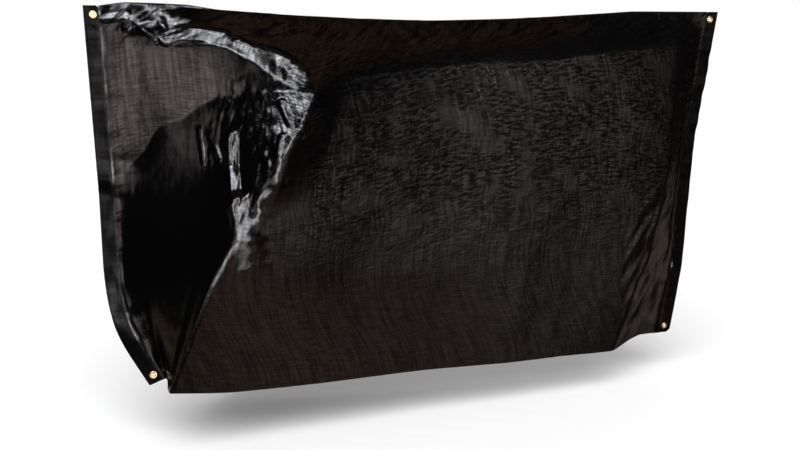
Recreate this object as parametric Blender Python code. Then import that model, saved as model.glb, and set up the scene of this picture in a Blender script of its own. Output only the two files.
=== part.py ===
"""A bicycle cover of black woven polyethylene sheet, hanging as it does over a parked bicycle.

The cover is a bag, open along the bottom: one sheet folded over at the top and joined down both ends
by a flat seam strip, with a brass eyelet in each corner. It hangs in its draped shape, with the
handlebar pushing out its upper front part and the turned front wheel its lower front part.

Frame, in metres: +X runs from the front of the bicycle to its rear, -Y is the near side, +Z is up.
The origin lies just under the top fold, midway between the two ends, where the bicycle holds it.
"""

import math

import bmesh
import bpy
import numpy as np
from mathutils import Matrix, Vector

# Driving dimensions, in metres.
BAG_HEIGHT = 1.16            # from the top fold to the hem, along the cloth
SHEET = 0.002                # thickness of the cloth
STRIP = 0.003                # thickness of a seam strip: two layers welded together
STRIP_WIDTH = 0.050          # from the bag's end to the strip's inner edge
LAP = 0.0075                 # how far the cloth laps over the strip's inner edge
STRIP_TOP_NOTCH = 0.009      # how far the lapped part of the strip stays below the fold
NOTCH_SLOPE = 0.001          # width over which the strip's top steps down into the notch
CORNER_HEIGHT = 0.040        # the two top corners stand this far above the origin
CORNER_CUT = 0.012           # the rear lower corner is folded away by this much
GAP = 0.0004                 # between pieces that touch
FOLD_RADIUS = STRIP / 2 + GAP + SHEET / 2

EYELET_INSET = 0.026         # from a corner's two edges to the eyelet's centre
EYELET_OUTER = 0.0115
EYELET_HOLE = 0.0055
EYELET_BARREL = 0.0063       # outside of the barrel that passes through the strip
EYELET_FLANGE = 0.0012
EYELET_CLEARANCE = 0.0007    # from the strip to the flanges, and to the barrel
EYELET_SEGMENTS = 24

# Named levels, as distances down the cloth from the top fold. Each section has its own shelf.
LEVELS = ("shelf", "waist", "knee", "hem")
WAIST = 0.50
KNEE = 0.83
SEAM_SHELF = 0.12            # the shelf of the sections that lie on a seam strip
STEPS = {"fold_to_shelf": 4, "shelf_to_waist": 5, "waist_to_knee": 4, "knee_to_hem": 5}
FOLD_STEPS = 4               # facets round the top fold
COLUMNS_BETWEEN = 3          # extra columns of facets between two sections of the near side
CRISP = 0.45                 # 0 draws soft curves between the rows of a table, 1 straight lines

# The top fold between the two corners, held up at the front by the handlebar.
TOP_LINE = [  # x, height
    (-1.008, 0.040),
    (-0.930, 0.050),
    (-0.760, 0.045),
    (-0.670, 0.032),
    (-0.560, 0.021),
    (-0.360, 0.014),
    (-0.080, 0.003),
    (0.280, 0.012),
    (0.600, 0.031),
    (0.730, 0.039),
    (1.008, 0.040),
]

# The outer edges of the two end seams. The front one swings in over the wheel, low down, and the
# strip there turns so that it climbs towards its inner edge.
SEAM_COLUMNS = ("along", "x", "y", "climb")
FRONT_SEAM = [
    (0.00, -1.050, 0.000, 0.00),
    (0.28, -1.041, 0.000, 0.00),
    (0.55, -1.032, 0.000, 0.00),
    (0.79, -1.030, 0.000, 0.00),
    (0.88, -1.022, -0.028, 0.00),
    (0.96, -1.006, -0.055, 0.08),
    (1.03, -0.979, -0.082, 0.20),
    (1.16, -0.915, -0.112, 0.38),
]
REAR_SEAM = [
    (0.00, 1.050, 0.000, 0.00),
    (0.09, 1.037, 0.001, 0.00),
    (0.30, 1.010, 0.008, 0.00),
    (0.43, 0.992, 0.013, 0.00),
    (0.66, 0.985, 0.025, 0.00),
    (0.90, 0.984, 0.042, 0.00),
    (1.05, 0.970, 0.055, 0.00),
    (1.16, 0.958, 0.065, 0.00),
]

# Sections from the top fold to the hem, front to rear. Each says where it crosses the fold and the
# levels, the height of its hem, how far down its shelf lies, and how far out it stands at each level.
COLUMNS = ("fold_x", "shelf_x", "waist_x", "knee_x", "hem_x", "hem_z", "shelf",
           "out_shelf", "out_waist", "out_knee", "out_hem")
NEAR_SIDE = {
    "front panel": (-0.945, -0.935, -0.932, -0.935, -0.862, -1.058, 0.080, 0.008, 0.018, 0.030, 0.135),
    "crown": (-0.835, -0.840, -0.850, -0.872, -0.866, -1.062, 0.135, 0.042, 0.055, 0.085, 0.165),
    "handlebar": (-0.680, -0.688, -0.706, -0.792, -0.869, -1.064, 0.140, 0.090, 0.122, 0.160, 0.200),
    "grip and tyre": (-0.375, -0.421, -0.535, -0.735, -0.864, -1.065, 0.300, 0.190, 0.232, 0.262, 0.235),
    "behind the grip": (-0.290, -0.315, -0.388, -0.520, -0.683, -1.088, 0.235, 0.145, 0.190, 0.225, 0.210),
    "front wheel side": (-0.130, -0.157, -0.174, -0.278, -0.409, -1.098, 0.190, 0.108, 0.145, 0.170, 0.175),
    "frame": (0.075, 0.056, 0.052, 0.014, -0.060, -1.103, 0.165, 0.083, 0.105, 0.125, 0.130),
    "saddle": (0.325, 0.305, 0.290, 0.268, 0.260, -1.114, 0.160, 0.073, 0.085, 0.095, 0.105),
    "carrier": (0.575, 0.545, 0.529, 0.500, 0.445, -1.116, 0.145, 0.056, 0.060, 0.065, 0.085),
    "rear fold": (0.905, 0.885, 0.870, 0.795, 0.657, -1.123, 0.115, 0.020, 0.028, 0.038, 0.060),
    "rear foot": (0.965, 0.950, 0.925, 0.900, 0.790, -1.098, 0.100, 0.006, 0.002, -0.010, -0.010),
}
FAR_SIDE = {
    "front panel": (-0.945, -0.940, -0.930, -0.915, -0.880, -1.078, 0.080, 0.014, 0.030, 0.025, -0.055),
    "bar end": (-0.770, -0.775, -0.785, -0.800, -0.820, -1.088, 0.140, 0.085, 0.130, 0.150, 0.100),
    "tyre": (-0.600, -0.605, -0.620, -0.650, -0.690, -1.092, 0.160, 0.105, 0.180, 0.245, 0.225),
    "behind the tyre": (-0.310, -0.315, -0.330, -0.350, -0.380, -1.098, 0.165, 0.088, 0.130, 0.165, 0.155),
    "frame": (0.050, 0.050, 0.050, 0.045, 0.035, -1.106, 0.160, 0.070, 0.090, 0.105, 0.115),
    "carrier": (0.520, 0.515, 0.510, 0.500, 0.485, -1.112, 0.140, 0.050, 0.062, 0.078, 0.095),
    "rear panel": (0.900, 0.880, 0.870, 0.855, 0.830, -1.110, 0.110, 0.020, 0.042, 0.066, 0.088),
}

BLACK = (0.012, 0.011, 0.012, 1.0)
BRASS = (0.66, 0.50, 0.24, 1.0)


def bend_through(knots, values, at):
    """A monotone cubic through the knots, mixed with straight lines by CRISP, along the first axis."""
    knots, values, at = (np.asarray(a, float) for a in (knots, values, at))
    values = values.reshape(len(knots), -1)
    step = np.diff(knots)[:, None]
    secant = np.diff(values, axis=0) / step
    slope = np.zeros_like(values)
    slope[0], slope[-1] = secant[0], secant[-1]
    before, after = secant[:-1], secant[1:]
    turns = before * after <= 0
    slope[1:-1] = np.where(turns, 0.0, 2 * before * after / np.where(turns, 1.0, before + after))
    i = np.clip(np.searchsorted(knots, at, side="right") - 1, 0, len(knots) - 2)
    t = ((at - knots[i]) / step[i, 0])[:, None]
    a, b, h = values[i], values[i + 1], step[i]
    curve = (
        a * (1 + 2 * t) * (1 - t) ** 2
        + b * t * t * (3 - 2 * t)
        + h * t * (1 - t) * (slope[i] * (1 - t) - slope[i + 1] * t)
    )
    straight = a + (b - a) * t
    return (1 - CRISP) * curve + CRISP * straight


def top_height(x):
    xs, heights = zip(*TOP_LINE)
    return float(bend_through(xs, heights, [x])[0, 0])


class Seam:
    """The flat ribbon down one end of the bag. along runs down its outer edge, across runs inwards."""

    ROUNDING = 0.03

    def __init__(self, path, inward):
        self.inward = inward
        table = dict(zip(SEAM_COLUMNS, np.array(path).T))
        level = np.diff([table["x"], table["y"]])
        drop = np.sqrt(np.diff(table["along"]) ** 2 - (level**2).sum(axis=0))
        heights = CORNER_HEIGHT - np.concatenate([[0.0], np.cumsum(drop)])
        self.along = table["along"]
        self.climb = table["climb"]
        self.points = np.column_stack([table["x"], table["y"], heights])

    def corner_line(self, along):
        """A point of the outer edge before rounding, carried straight on past both ends."""
        ends = ((0, 1), (-2, -1))
        for first, second in ends:
            a, b = self.along[first], self.along[second]
            if (along < self.along[0] and first == 0) or (along > self.along[-1] and first == -2):
                t = (along - a) / (b - a)
                return self.points[first] * (1 - t) + self.points[second] * t
        return np.array([np.interp(along, self.along, self.points[:, k]) for k in range(3)])

    def edge(self, along):
        window = np.linspace(-self.ROUNDING, self.ROUNDING, 7)
        return np.mean([self.corner_line(along + w) for w in window], axis=0)

    def frame(self, along):
        """The outer edge's point, the direction across the ribbon inwards, and its near-side normal."""
        point = self.edge(along)
        down = self.edge(along + 0.01) - self.edge(along - 0.01)
        across = np.array([self.inward, 0.0, np.interp(along, self.along, self.climb)])
        across /= np.linalg.norm(across)
        normal = np.cross(down, across)
        normal *= -np.sign(normal[1]) / np.linalg.norm(normal)
        return point, across, normal

    def place(self, along, across, out=0.0):
        point, inwards, normal = self.frame(along)
        return point + across * inwards + out * normal


def levels(shelf):
    """How far down the cloth each level of a section lies."""
    stops = [0.0, shelf, WAIST, KNEE, BAG_HEIGHT]
    parts = [
        np.linspace(a, b, n, endpoint=False)
        for a, b, n in zip(stops, stops[1:], STEPS.values())
    ]
    return np.concatenate([*parts, [BAG_HEIGHT]])


def section(row, side):
    """The points of one section of a side, from just past the top fold to the hem. side is -1 near, 1 far."""
    r = dict(zip(COLUMNS, row))
    down = levels(r["shelf"])
    stops = [0.0, r["shelf"], WAIST, KNEE, BAG_HEIGHT]
    out = bend_through(stops, [0.0, *[r["out_" + level] for level in LEVELS]], down)[:, 0]
    x = bend_through(stops, [r["fold_x"], *[r[level + "_x"] for level in LEVELS]], down)[:, 0]
    slope = np.gradient(out, down)
    fall = np.sqrt(np.clip(1 - slope**2, 0.05, 1.0))
    drop = np.concatenate([[0.0], np.cumsum((fall[1:] + fall[:-1]) / 2 * np.diff(down))])
    lean = math.asin(min(0.95, r["out_shelf"] / r["shelf"]))
    top = top_height(r["fold_x"]) - FOLD_RADIUS + FOLD_RADIUS * math.sin(lean)
    z = top - drop * (top - r["hem_z"]) / drop[-1]
    y = side * (FOLD_RADIUS * math.cos(lean) + out)
    return np.column_stack([x, y, z])


def seam_section(seam, across, side):
    """The points of a section that lies on the seam strip."""
    down = levels(SEAM_SHELF)
    points = [seam.place(max(d, FOLD_RADIUS), across, -side * FOLD_RADIUS) for d in down]
    return np.array(points)


def round_the_fold(near, far):
    """The points over the top fold between the first points of the two sides."""
    centre = np.array([near[0], 0.0, top_height(near[0]) - FOLD_RADIUS])
    start = math.atan2(near[2] - centre[2], near[1])
    end = math.atan2(far[2] - centre[2], far[1])
    if start < 0:
        start += 2 * math.pi
    angles = np.linspace(start, end, FOLD_STEPS + 1)[1:-1]
    return [centre + FOLD_RADIUS * np.array([0.0, math.cos(a), math.sin(a)]) for a in angles]


def side_grid(table, side, front, rear, stations):
    """Sections of one side at every station: the table's rows, with the seams at the two ends."""
    rows = [seam_section(front, a, side) for a in (STRIP_WIDTH - LAP, STRIP_WIDTH)]
    rows += [section(row, side) for row in table.values()]
    rows += [seam_section(rear, a, side) for a in (STRIP_WIDTH, STRIP_WIDTH - LAP)]
    at = [r[0, 0] for r in rows]
    stacked = np.array([r.reshape(-1) for r in rows])
    return bend_through(at, stacked, stations).reshape(len(stations), -1, 3)


def fold_stations(front, rear):
    """Where the columns of facets cross the top fold."""
    ends = [seam.place(FOLD_RADIUS, across)[0] for seam in (front, rear) for across in (STRIP_WIDTH - LAP, STRIP_WIDTH)]
    knots = sorted([*ends, *[row[0] for row in NEAR_SIDE.values()]])
    stations = []
    for a, b in zip(knots, knots[1:]):
        pieces = 1 if b - a < 2 * LAP else COLUMNS_BETWEEN + 1
        stations += list(np.linspace(a, b, pieces, endpoint=False))
    return np.array([*stations, knots[-1]])


def grid_mesh(name, grid):
    """A mesh of quads through a grid of points, with its faces towards the outside of the bag."""
    rows, columns = grid.shape[:2]
    mesh = bpy.data.meshes.new(name)
    faces = [
        (i * columns + j, (i + 1) * columns + j, (i + 1) * columns + j + 1, i * columns + j + 1)
        for i in range(rows - 1)
        for j in range(columns - 1)
    ]
    mesh.from_pydata(grid.reshape(-1, 3).tolist(), [], faces)
    mesh.update()
    return mesh


def material(name, colour, roughness, metallic=0.0):
    made = bpy.data.materials.new(name)
    made.use_nodes = True
    shader = made.node_tree.nodes["Principled BSDF"]
    shader.inputs["Base Color"].default_value = colour
    shader.inputs["Roughness"].default_value = roughness
    shader.inputs["Metallic"].default_value = metallic
    return made


def add_object(name, mesh, finish):
    made = bpy.data.objects.new(name, mesh)
    bpy.context.scene.collection.objects.link(made)
    made.data.materials.append(finish)
    return made


def thicken(made, thickness):
    solid = made.modifiers.new("Thickness", "SOLIDIFY")
    solid.thickness = thickness
    solid.offset = 0.0
    solid.use_even_offset = True


def make_cover(front, rear, finish):
    """The folded sheet, as columns of points from the near hem over the fold to the far hem."""
    stations = fold_stations(front, rear)
    near = side_grid(NEAR_SIDE, -1, front, rear, stations)
    far = side_grid(FAR_SIDE, 1, front, rear, stations)
    columns = [
        np.vstack([near[i][::-1], round_the_fold(near[i][0], far[i][0]), far[i]])
        for i in range(len(stations))
    ]
    cover = add_object("cover", grid_mesh("cover", np.array(columns)), finish)
    thicken(cover, SHEET)
    return cover


def make_strip(name, seam, cut, finish):
    """A seam strip, notched at its top inner corner so that the cloth's fold passes over it."""
    lapped = STRIP_WIDTH - LAP - 3 * GAP
    outer = CORNER_CUT if cut else STRIP_WIDTH / 4
    crossings = [0.0, outer, lapped - NOTCH_SLOPE, lapped, STRIP_WIDTH]
    downs = levels(SEAM_SHELF)
    grid = [[seam.place(along, across) for across in crossings] for along in downs]
    for column in (3, 4):
        grid[0][column] = seam.place(STRIP_TOP_NOTCH, crossings[column])
    if cut:
        grid[-1][0] = seam.place(BAG_HEIGHT - CORNER_CUT, 0.0)
    rows = grid
    strip = add_object(name, grid_mesh(name, np.array(rows)), finish)
    thicken(strip, STRIP)
    return strip


def ring_profile():
    """The eyelet's section as radius and height: two flanges joined by a barrel, with rounded edges."""
    under = STRIP / 2 + EYELET_CLEARANCE
    top = under + EYELET_FLANGE
    bevel = EYELET_FLANGE / 2
    upper = [
        (EYELET_BARREL, under),
        (EYELET_OUTER, under),
        (EYELET_OUTER, top - bevel),
        (EYELET_OUTER - 2 * bevel, top),
        (EYELET_HOLE + bevel, top),
        (EYELET_HOLE, top - bevel),
    ]
    lower = [(radius, -height) for radius, height in reversed(upper)]
    return upper + lower


def turned(name, profile, segments):
    """A closed ring: the profile carried round the Z axis."""
    made = bmesh.new()
    rings = []
    for k in range(segments):
        angle = 2 * math.pi * k / segments
        rings.append([
            made.verts.new((radius * math.cos(angle), radius * math.sin(angle), height))
            for radius, height in profile
        ])
    for k in range(segments):
        here, following = rings[k], rings[(k + 1) % segments]
        for j in range(len(profile)):
            after = (j + 1) % len(profile)
            made.faces.new((here[j], following[j], following[after], here[after]))
    bmesh.ops.recalc_face_normals(made, faces=made.faces)
    mesh = bpy.data.meshes.new(name)
    made.to_mesh(mesh)
    made.free()
    return mesh


def eyelet_place(seam, along):
    """The matrix that stands an eyelet on its strip, with its axis out of the near side."""
    centre = seam.place(along, EYELET_INSET)
    _, across, normal = seam.frame(along)
    down = np.cross(normal, across)
    turn = Matrix([across, down, normal]).transposed().to_4x4()
    return Matrix.Translation(Vector(centre)) @ turn


def punch(strip, place, name):
    """A round hole through the strip for an eyelet's barrel."""
    mesh = bpy.data.meshes.new(name)
    made = bmesh.new()
    bmesh.ops.create_cone(
        made,
        cap_ends=True,
        segments=EYELET_SEGMENTS,
        radius1=EYELET_BARREL + EYELET_CLEARANCE,
        radius2=EYELET_BARREL + EYELET_CLEARANCE,
        depth=8 * STRIP,
    )
    made.to_mesh(mesh)
    made.free()
    cutter = bpy.data.objects.new(name, mesh)
    bpy.context.scene.collection.objects.link(cutter)
    cutter.matrix_world = place
    cutter.hide_render = True
    cutter.display_type = "WIRE"
    cut = strip.modifiers.new(name, "BOOLEAN")
    cut.operation = "DIFFERENCE"
    cut.object = cutter


def make_eyelets(end, seam, strip, finish):
    mesh = turned("eyelet_" + end, ring_profile(), EYELET_SEGMENTS)
    for corner, along in (("top", EYELET_INSET), ("foot", BAG_HEIGHT - EYELET_INSET)):
        place = eyelet_place(seam, along)
        punch(strip, place, f"hole_{end}_{corner}")
        eyelet = add_object(f"eyelet_{end}_{corner}", mesh.copy(), finish)
        eyelet.matrix_world = place


def clear_scene():
    for old in list(bpy.data.objects):
        bpy.data.objects.remove(old)


def main():
    clear_scene()
    cloth = material("black woven sheet", BLACK, 0.35)
    metal = material("brass", BRASS, 0.25, 1.0)
    front = Seam(FRONT_SEAM, 1)
    rear = Seam(REAR_SEAM, -1)
    make_cover(front, rear, cloth)
    for end, seam, cut in (("front", front, False), ("rear", rear, True)):
        strip = make_strip("seam_" + end, seam, cut, cloth)
        make_eyelets(end, seam, strip, metal)


main()
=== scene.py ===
# %% [markdown]
# # A bicycle cover
#
# A black sheet of coated woven polyethylene, folded over at the top and closed at both ends, hangs
# over a bicycle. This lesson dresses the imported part: it keeps the frame of the solid model and hangs
# a thin sheet with its creases, two seam strips and four brass eyelets on it. Everything is in metres:
# x runs from the front to the rear, -y is the side that faces the camera, and z is up.

# %% Load the frame
import functools
import math

import bmesh
import bpy
import numpy as np
from mathutils import Matrix, Vector, noise


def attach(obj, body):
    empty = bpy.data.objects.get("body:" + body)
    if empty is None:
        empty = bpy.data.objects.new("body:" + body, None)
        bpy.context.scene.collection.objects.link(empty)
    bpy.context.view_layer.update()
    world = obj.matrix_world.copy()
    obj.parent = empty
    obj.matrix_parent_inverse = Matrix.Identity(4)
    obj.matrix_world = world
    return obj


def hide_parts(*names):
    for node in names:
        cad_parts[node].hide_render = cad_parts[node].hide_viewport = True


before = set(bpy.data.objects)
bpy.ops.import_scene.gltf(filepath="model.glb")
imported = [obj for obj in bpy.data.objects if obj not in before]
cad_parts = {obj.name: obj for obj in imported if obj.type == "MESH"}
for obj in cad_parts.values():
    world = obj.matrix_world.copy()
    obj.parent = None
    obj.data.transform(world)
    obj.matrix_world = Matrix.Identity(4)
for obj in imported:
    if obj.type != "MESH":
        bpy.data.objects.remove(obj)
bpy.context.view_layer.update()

# %% [markdown]
# ## The flat bag, and how it hangs
#
# On the real object one sheet, 2.10 m long and 2.32 m high, is folded over at the top. A cloth like
# this hardly stretches, so a good way to model it is to hang it in sections: a section says how far
# the cloth stands out at a few depths, and its height follows from the length of cloth used up.
# A cloth simulation would also do it, but it can't be told where the real folds lie.

# %% Sizes of the bag, in metres
BAG_HEIGHT = 1.16            # from the top fold to the hem, along the cloth
STRIP_WIDTH = 0.050          # the seam strip at each end
LAP = 0.0075                 # how far the sheet laps over a strip
FOLD_RADIUS = 0.0029         # the sheet goes round the strip's top on this radius
CORNER_HEIGHT = 0.040        # the top corners stand this far above the frame's origin
LEVELS = ("shelf", "waist", "knee", "hem")
WAIST, KNEE, SEAM_SHELF = 0.50, 0.83, 0.12
STEPS = {"fold_to_shelf": 28, "shelf_to_waist": 62, "waist_to_knee": 40, "knee_to_hem": 32}
CRISP = 0.45                 # 0 draws soft curves between the rows of a table, 1 straight lines
print("the two sides fall", BAG_HEIGHT, "m each, in", sum(STEPS.values()), "steps")

# %% [markdown]
# The top fold sags between the corners. The two end seams hang from the corners: the front one swings
# in over the turned wheel near its foot. Each row is one point of the line.

# %% The top fold and the two end seams
TOP_LINE = [  # x, height
    (-1.008, 0.040), (-0.930, 0.050), (-0.760, 0.045), (-0.670, 0.032), (-0.560, 0.021), (-0.360, 0.014),
    (-0.080, 0.003), (0.280, 0.012), (0.600, 0.031), (0.730, 0.039), (1.008, 0.040),
]
SEAM_COLUMNS = ("along", "x", "y", "climb")
FRONT_SEAM = [
    (0.00, -1.050, 0.000, 0.00), (0.28, -1.041, 0.000, 0.00), (0.55, -1.032, 0.000, 0.00),
    (0.79, -1.030, 0.000, 0.00), (0.88, -1.022, -0.028, 0.00), (0.96, -1.006, -0.055, 0.08),
    (1.03, -0.979, -0.082, 0.20), (1.16, -0.915, -0.112, 0.38),
]
REAR_SEAM = [
    (0.00, 1.050, 0.000, 0.00), (0.09, 1.037, 0.001, 0.00), (0.30, 1.010, 0.008, 0.00),
    (0.43, 0.992, 0.013, 0.00), (0.66, 0.985, 0.025, 0.00), (0.90, 0.984, 0.042, 0.00),
    (1.05, 0.970, 0.055, 0.00), (1.16, 0.958, 0.065, 0.00),
]
print("top fold:", len(TOP_LINE), "points, seams:", len(FRONT_SEAM), "and", len(REAR_SEAM))

# %% [markdown]
# Sections of the two sides, front to rear. Each is named for what pushes the cloth out there, and says
# for four levels down the cloth where it lies along x and how far it stands out of the bag's middle
# plane. On the near side these are the handlebar's grip and, at the hem, the turned front wheel.

# %% Sections of the near and the far side
COLUMNS = ("fold_x", "shelf_x", "waist_x", "knee_x", "hem_x", "hem_z", "shelf",
           "out_shelf", "out_waist", "out_knee", "out_hem")
NEAR_SIDE = {
    "front panel": (-0.945, -0.935, -0.932, -0.935, -0.862, -1.058, 0.080, 0.008, 0.018, 0.030, 0.135),
    "crown": (-0.835, -0.840, -0.850, -0.872, -0.866, -1.062, 0.135, 0.042, 0.055, 0.085, 0.165),
    "handlebar": (-0.680, -0.688, -0.706, -0.792, -0.869, -1.064, 0.140, 0.090, 0.122, 0.160, 0.200),
    "grip and tyre": (-0.375, -0.421, -0.535, -0.735, -0.864, -1.065, 0.300, 0.190, 0.232, 0.262, 0.235),
    "behind the grip": (-0.290, -0.315, -0.388, -0.520, -0.683, -1.088, 0.235, 0.145, 0.190, 0.225, 0.210),
    "front wheel side": (-0.130, -0.157, -0.174, -0.278, -0.409, -1.098, 0.190, 0.108, 0.145, 0.170, 0.175),
    "frame": (0.075, 0.056, 0.052, 0.014, -0.060, -1.103, 0.165, 0.083, 0.105, 0.125, 0.130),
    "saddle": (0.325, 0.305, 0.290, 0.268, 0.260, -1.114, 0.160, 0.073, 0.085, 0.095, 0.105),
    "carrier": (0.575, 0.545, 0.529, 0.500, 0.445, -1.116, 0.145, 0.056, 0.060, 0.065, 0.085),
    "rear fold": (0.905, 0.885, 0.870, 0.795, 0.657, -1.123, 0.115, 0.020, 0.028, 0.038, 0.060),
    "rear foot": (0.965, 0.950, 0.925, 0.900, 0.790, -1.098, 0.100, 0.006, 0.002, -0.010, -0.010),
}
FAR_SIDE = {
    "front panel": (-0.945, -0.940, -0.930, -0.915, -0.880, -1.078, 0.080, 0.014, 0.030, 0.025, -0.055),
    "bar end": (-0.770, -0.775, -0.785, -0.800, -0.820, -1.088, 0.140, 0.085, 0.130, 0.150, 0.100),
    "tyre": (-0.600, -0.605, -0.620, -0.650, -0.690, -1.092, 0.160, 0.105, 0.180, 0.245, 0.225),
    "behind the tyre": (-0.310, -0.315, -0.330, -0.350, -0.380, -1.098, 0.165, 0.088, 0.130, 0.165, 0.155),
    "frame": (0.050, 0.050, 0.050, 0.045, 0.035, -1.106, 0.160, 0.070, 0.090, 0.105, 0.115),
    "carrier": (0.520, 0.515, 0.510, 0.500, 0.485, -1.112, 0.140, 0.050, 0.062, 0.078, 0.095),
    "rear panel": (0.900, 0.880, 0.870, 0.855, 0.830, -1.110, 0.110, 0.020, 0.042, 0.066, 0.088),
}
print(len(NEAR_SIDE), "near sections and", len(FAR_SIDE), "far sections")


# %% [markdown]
# The tables hold few rows, so a curve has to run through them. A free spline would swing past the rows
# and make folds of its own. A monotone one doesn't, and mixed with straight lines it stays a little
# crisp, as a stiff coated cloth does.

# %% A curve through the rows of a table
def bend_through(knots, values, at):
    """A monotone cubic through the knots, mixed with straight lines by CRISP, along the first axis."""
    knots, values, at = (np.asarray(a, float) for a in (knots, values, at))
    values = values.reshape(len(knots), -1)
    step = np.diff(knots)[:, None]
    secant = np.diff(values, axis=0) / step
    slope = np.zeros_like(values)
    slope[0], slope[-1] = secant[0], secant[-1]
    before, after = secant[:-1], secant[1:]
    turns = before * after <= 0
    slope[1:-1] = np.where(turns, 0.0, 2 * before * after / np.where(turns, 1.0, before + after))
    i = np.clip(np.searchsorted(knots, at, side="right") - 1, 0, len(knots) - 2)
    t = ((at - knots[i]) / step[i, 0])[:, None]
    a, b, h = values[i], values[i + 1], step[i]
    curve = (
        a * (1 + 2 * t) * (1 - t) ** 2
        + b * t * t * (3 - 2 * t)
        + h * t * (1 - t) * (slope[i] * (1 - t) - slope[i + 1] * t)
    )
    straight = a + (b - a) * t
    return (1 - CRISP) * curve + CRISP * straight


def top_height(x):
    xs, heights = zip(*TOP_LINE)
    return float(bend_through(xs, heights, [x])[0, 0])


print("height of the top fold at x = 0:", round(top_height(0.0), 4))

# %% [markdown]
# A seam is a flat ribbon, 50 mm wide. It bends as it hangs, so a small class gives its point, its
# direction across and its normal at any place down its length. The sheet's ends, the strips and the
# eyelets all ask it, so they stay together.

# %% The ribbon of a seam
class Seam:
    """The flat ribbon down one end of the bag. along runs down its outer edge, across runs inwards."""

    ROUNDING = 0.03              # the path's corners are rounded over this length to either side
    STEP = 0.01                  # the direction down the edge is read over this length

    def __init__(self, path, inward):
        self.inward = inward
        table = dict(zip(SEAM_COLUMNS, np.array(path).T))
        level = np.diff([table["x"], table["y"]])
        drop = np.sqrt(np.diff(table["along"]) ** 2 - (level**2).sum(axis=0))
        heights = CORNER_HEIGHT - np.concatenate([[0.0], np.cumsum(drop)])
        self.along = table["along"]
        self.climb = table["climb"]
        self.points = np.column_stack([table["x"], table["y"], heights])

    def corner_line(self, along):
        """A point of the outer edge before rounding, carried straight on past both ends."""
        i = int(np.clip(np.searchsorted(self.along, along) - 1, 0, len(self.along) - 2))
        t = (along - self.along[i]) / (self.along[i + 1] - self.along[i])
        return self.points[i] * (1 - t) + self.points[i + 1] * t

    def edge(self, along):
        window = np.linspace(-self.ROUNDING, self.ROUNDING, 7)
        return np.mean([self.corner_line(along + w) for w in window], axis=0)

    def frame(self, along):
        """The outer edge's point, the direction across the ribbon inwards, and its near-side normal."""
        point = self.edge(along)
        down = self.edge(along + self.STEP) - self.edge(along - self.STEP)
        across = np.array([self.inward, 0.0, np.interp(along, self.along, self.climb)])
        across /= np.linalg.norm(across)
        normal = np.cross(down, across)
        normal *= -np.sign(normal[1]) / np.linalg.norm(normal)
        return point, across, normal

    def place(self, along, across, out=0.0):
        point, inwards, normal = self.frame(along)
        return point + across * inwards + out * normal


front_seam = Seam(FRONT_SEAM, 1)
rear_seam = Seam(REAR_SEAM, -1)
print("front corner", front_seam.edge(0.0).round(3), "foot", front_seam.edge(BAG_HEIGHT).round(3))


# %% [markdown]
# Each row of a table becomes a section: the cloth leaves the top fold, stands out as the row says, and
# falls by what length is left. Between the rows the sections are blended, column by column.

# %% Sections of the sheet
LEAST_FALL = 0.05            # the fall for a length of cloth, squared, is never a smaller share than this
STEEPEST_LEAN = 0.95         # the most that a side leans out at the top fold, as a sine


def levels(shelf):
    """How far down the cloth each level of a section lies."""
    stops = [0.0, shelf, WAIST, KNEE, BAG_HEIGHT]
    parts = [np.linspace(a, b, n, endpoint=False) for a, b, n in zip(stops, stops[1:], STEPS.values())]
    return np.concatenate([*parts, [BAG_HEIGHT]])


def section(row, side):
    """The points of one section, from just past the top fold to the hem. side is -1 near, 1 far."""
    named = dict(zip(COLUMNS, row))
    down = levels(named["shelf"])
    stops = [0.0, named["shelf"], WAIST, KNEE, BAG_HEIGHT]
    out = bend_through(stops, [0.0, *[named["out_" + level] for level in LEVELS]], down)[:, 0]
    x = bend_through(stops, [named["fold_x"], *[named[level + "_x"] for level in LEVELS]], down)[:, 0]
    slope = np.gradient(out, down)
    fall = np.sqrt(np.clip(1 - slope**2, LEAST_FALL, 1.0))
    drop = np.concatenate([[0.0], np.cumsum((fall[1:] + fall[:-1]) / 2 * np.diff(down))])
    lean = math.asin(min(STEEPEST_LEAN, named["out_shelf"] / named["shelf"]))
    top = top_height(named["fold_x"]) - FOLD_RADIUS + FOLD_RADIUS * math.sin(lean)
    z = top - drop * (top - named["hem_z"]) / drop[-1]
    y = side * (FOLD_RADIUS * math.cos(lean) + out)
    return np.column_stack([x, y, z])


def seam_section(seam, across, side):
    down = levels(SEAM_SHELF)
    return np.array([seam.place(max(d, FOLD_RADIUS), across, -side * FOLD_RADIUS) for d in down])


def side_grid(table, side, stations):
    """Sections of one side at every station: the table's rows, with the seams at the two ends."""
    sections = [seam_section(front_seam, a, side) for a in (STRIP_WIDTH - LAP, STRIP_WIDTH)]
    sections += [section(row, side) for row in table.values()]
    sections += [seam_section(rear_seam, a, side) for a in (STRIP_WIDTH, STRIP_WIDTH - LAP)]
    at = [points[0, 0] for points in sections]
    stacked = np.array([points.reshape(-1) for points in sections])
    return bend_through(at, stacked, stations).reshape(len(stations), -1, 3)


def round_the_fold(near, far, facets):
    """The points over the top fold between the first points of the two sides."""
    centre = np.array([near[0], 0.0, top_height(near[0]) - FOLD_RADIUS])
    start = math.atan2(near[2] - centre[2], near[1])
    end = math.atan2(far[2] - centre[2], far[1])
    if start < 0:
        start += 2 * math.pi
    angles = np.linspace(start, end, facets + 1)[1:-1]
    return [centre + FOLD_RADIUS * np.array([0.0, math.cos(a), math.sin(a)]) for a in angles]


hem = section(NEAR_SIDE["grip and tyre"], -1)[-1]
print("the hem over the tyre:", hem.round(3))

# %% [markdown]
# The front part holds the small folds, so its columns are closer together there.

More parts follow.
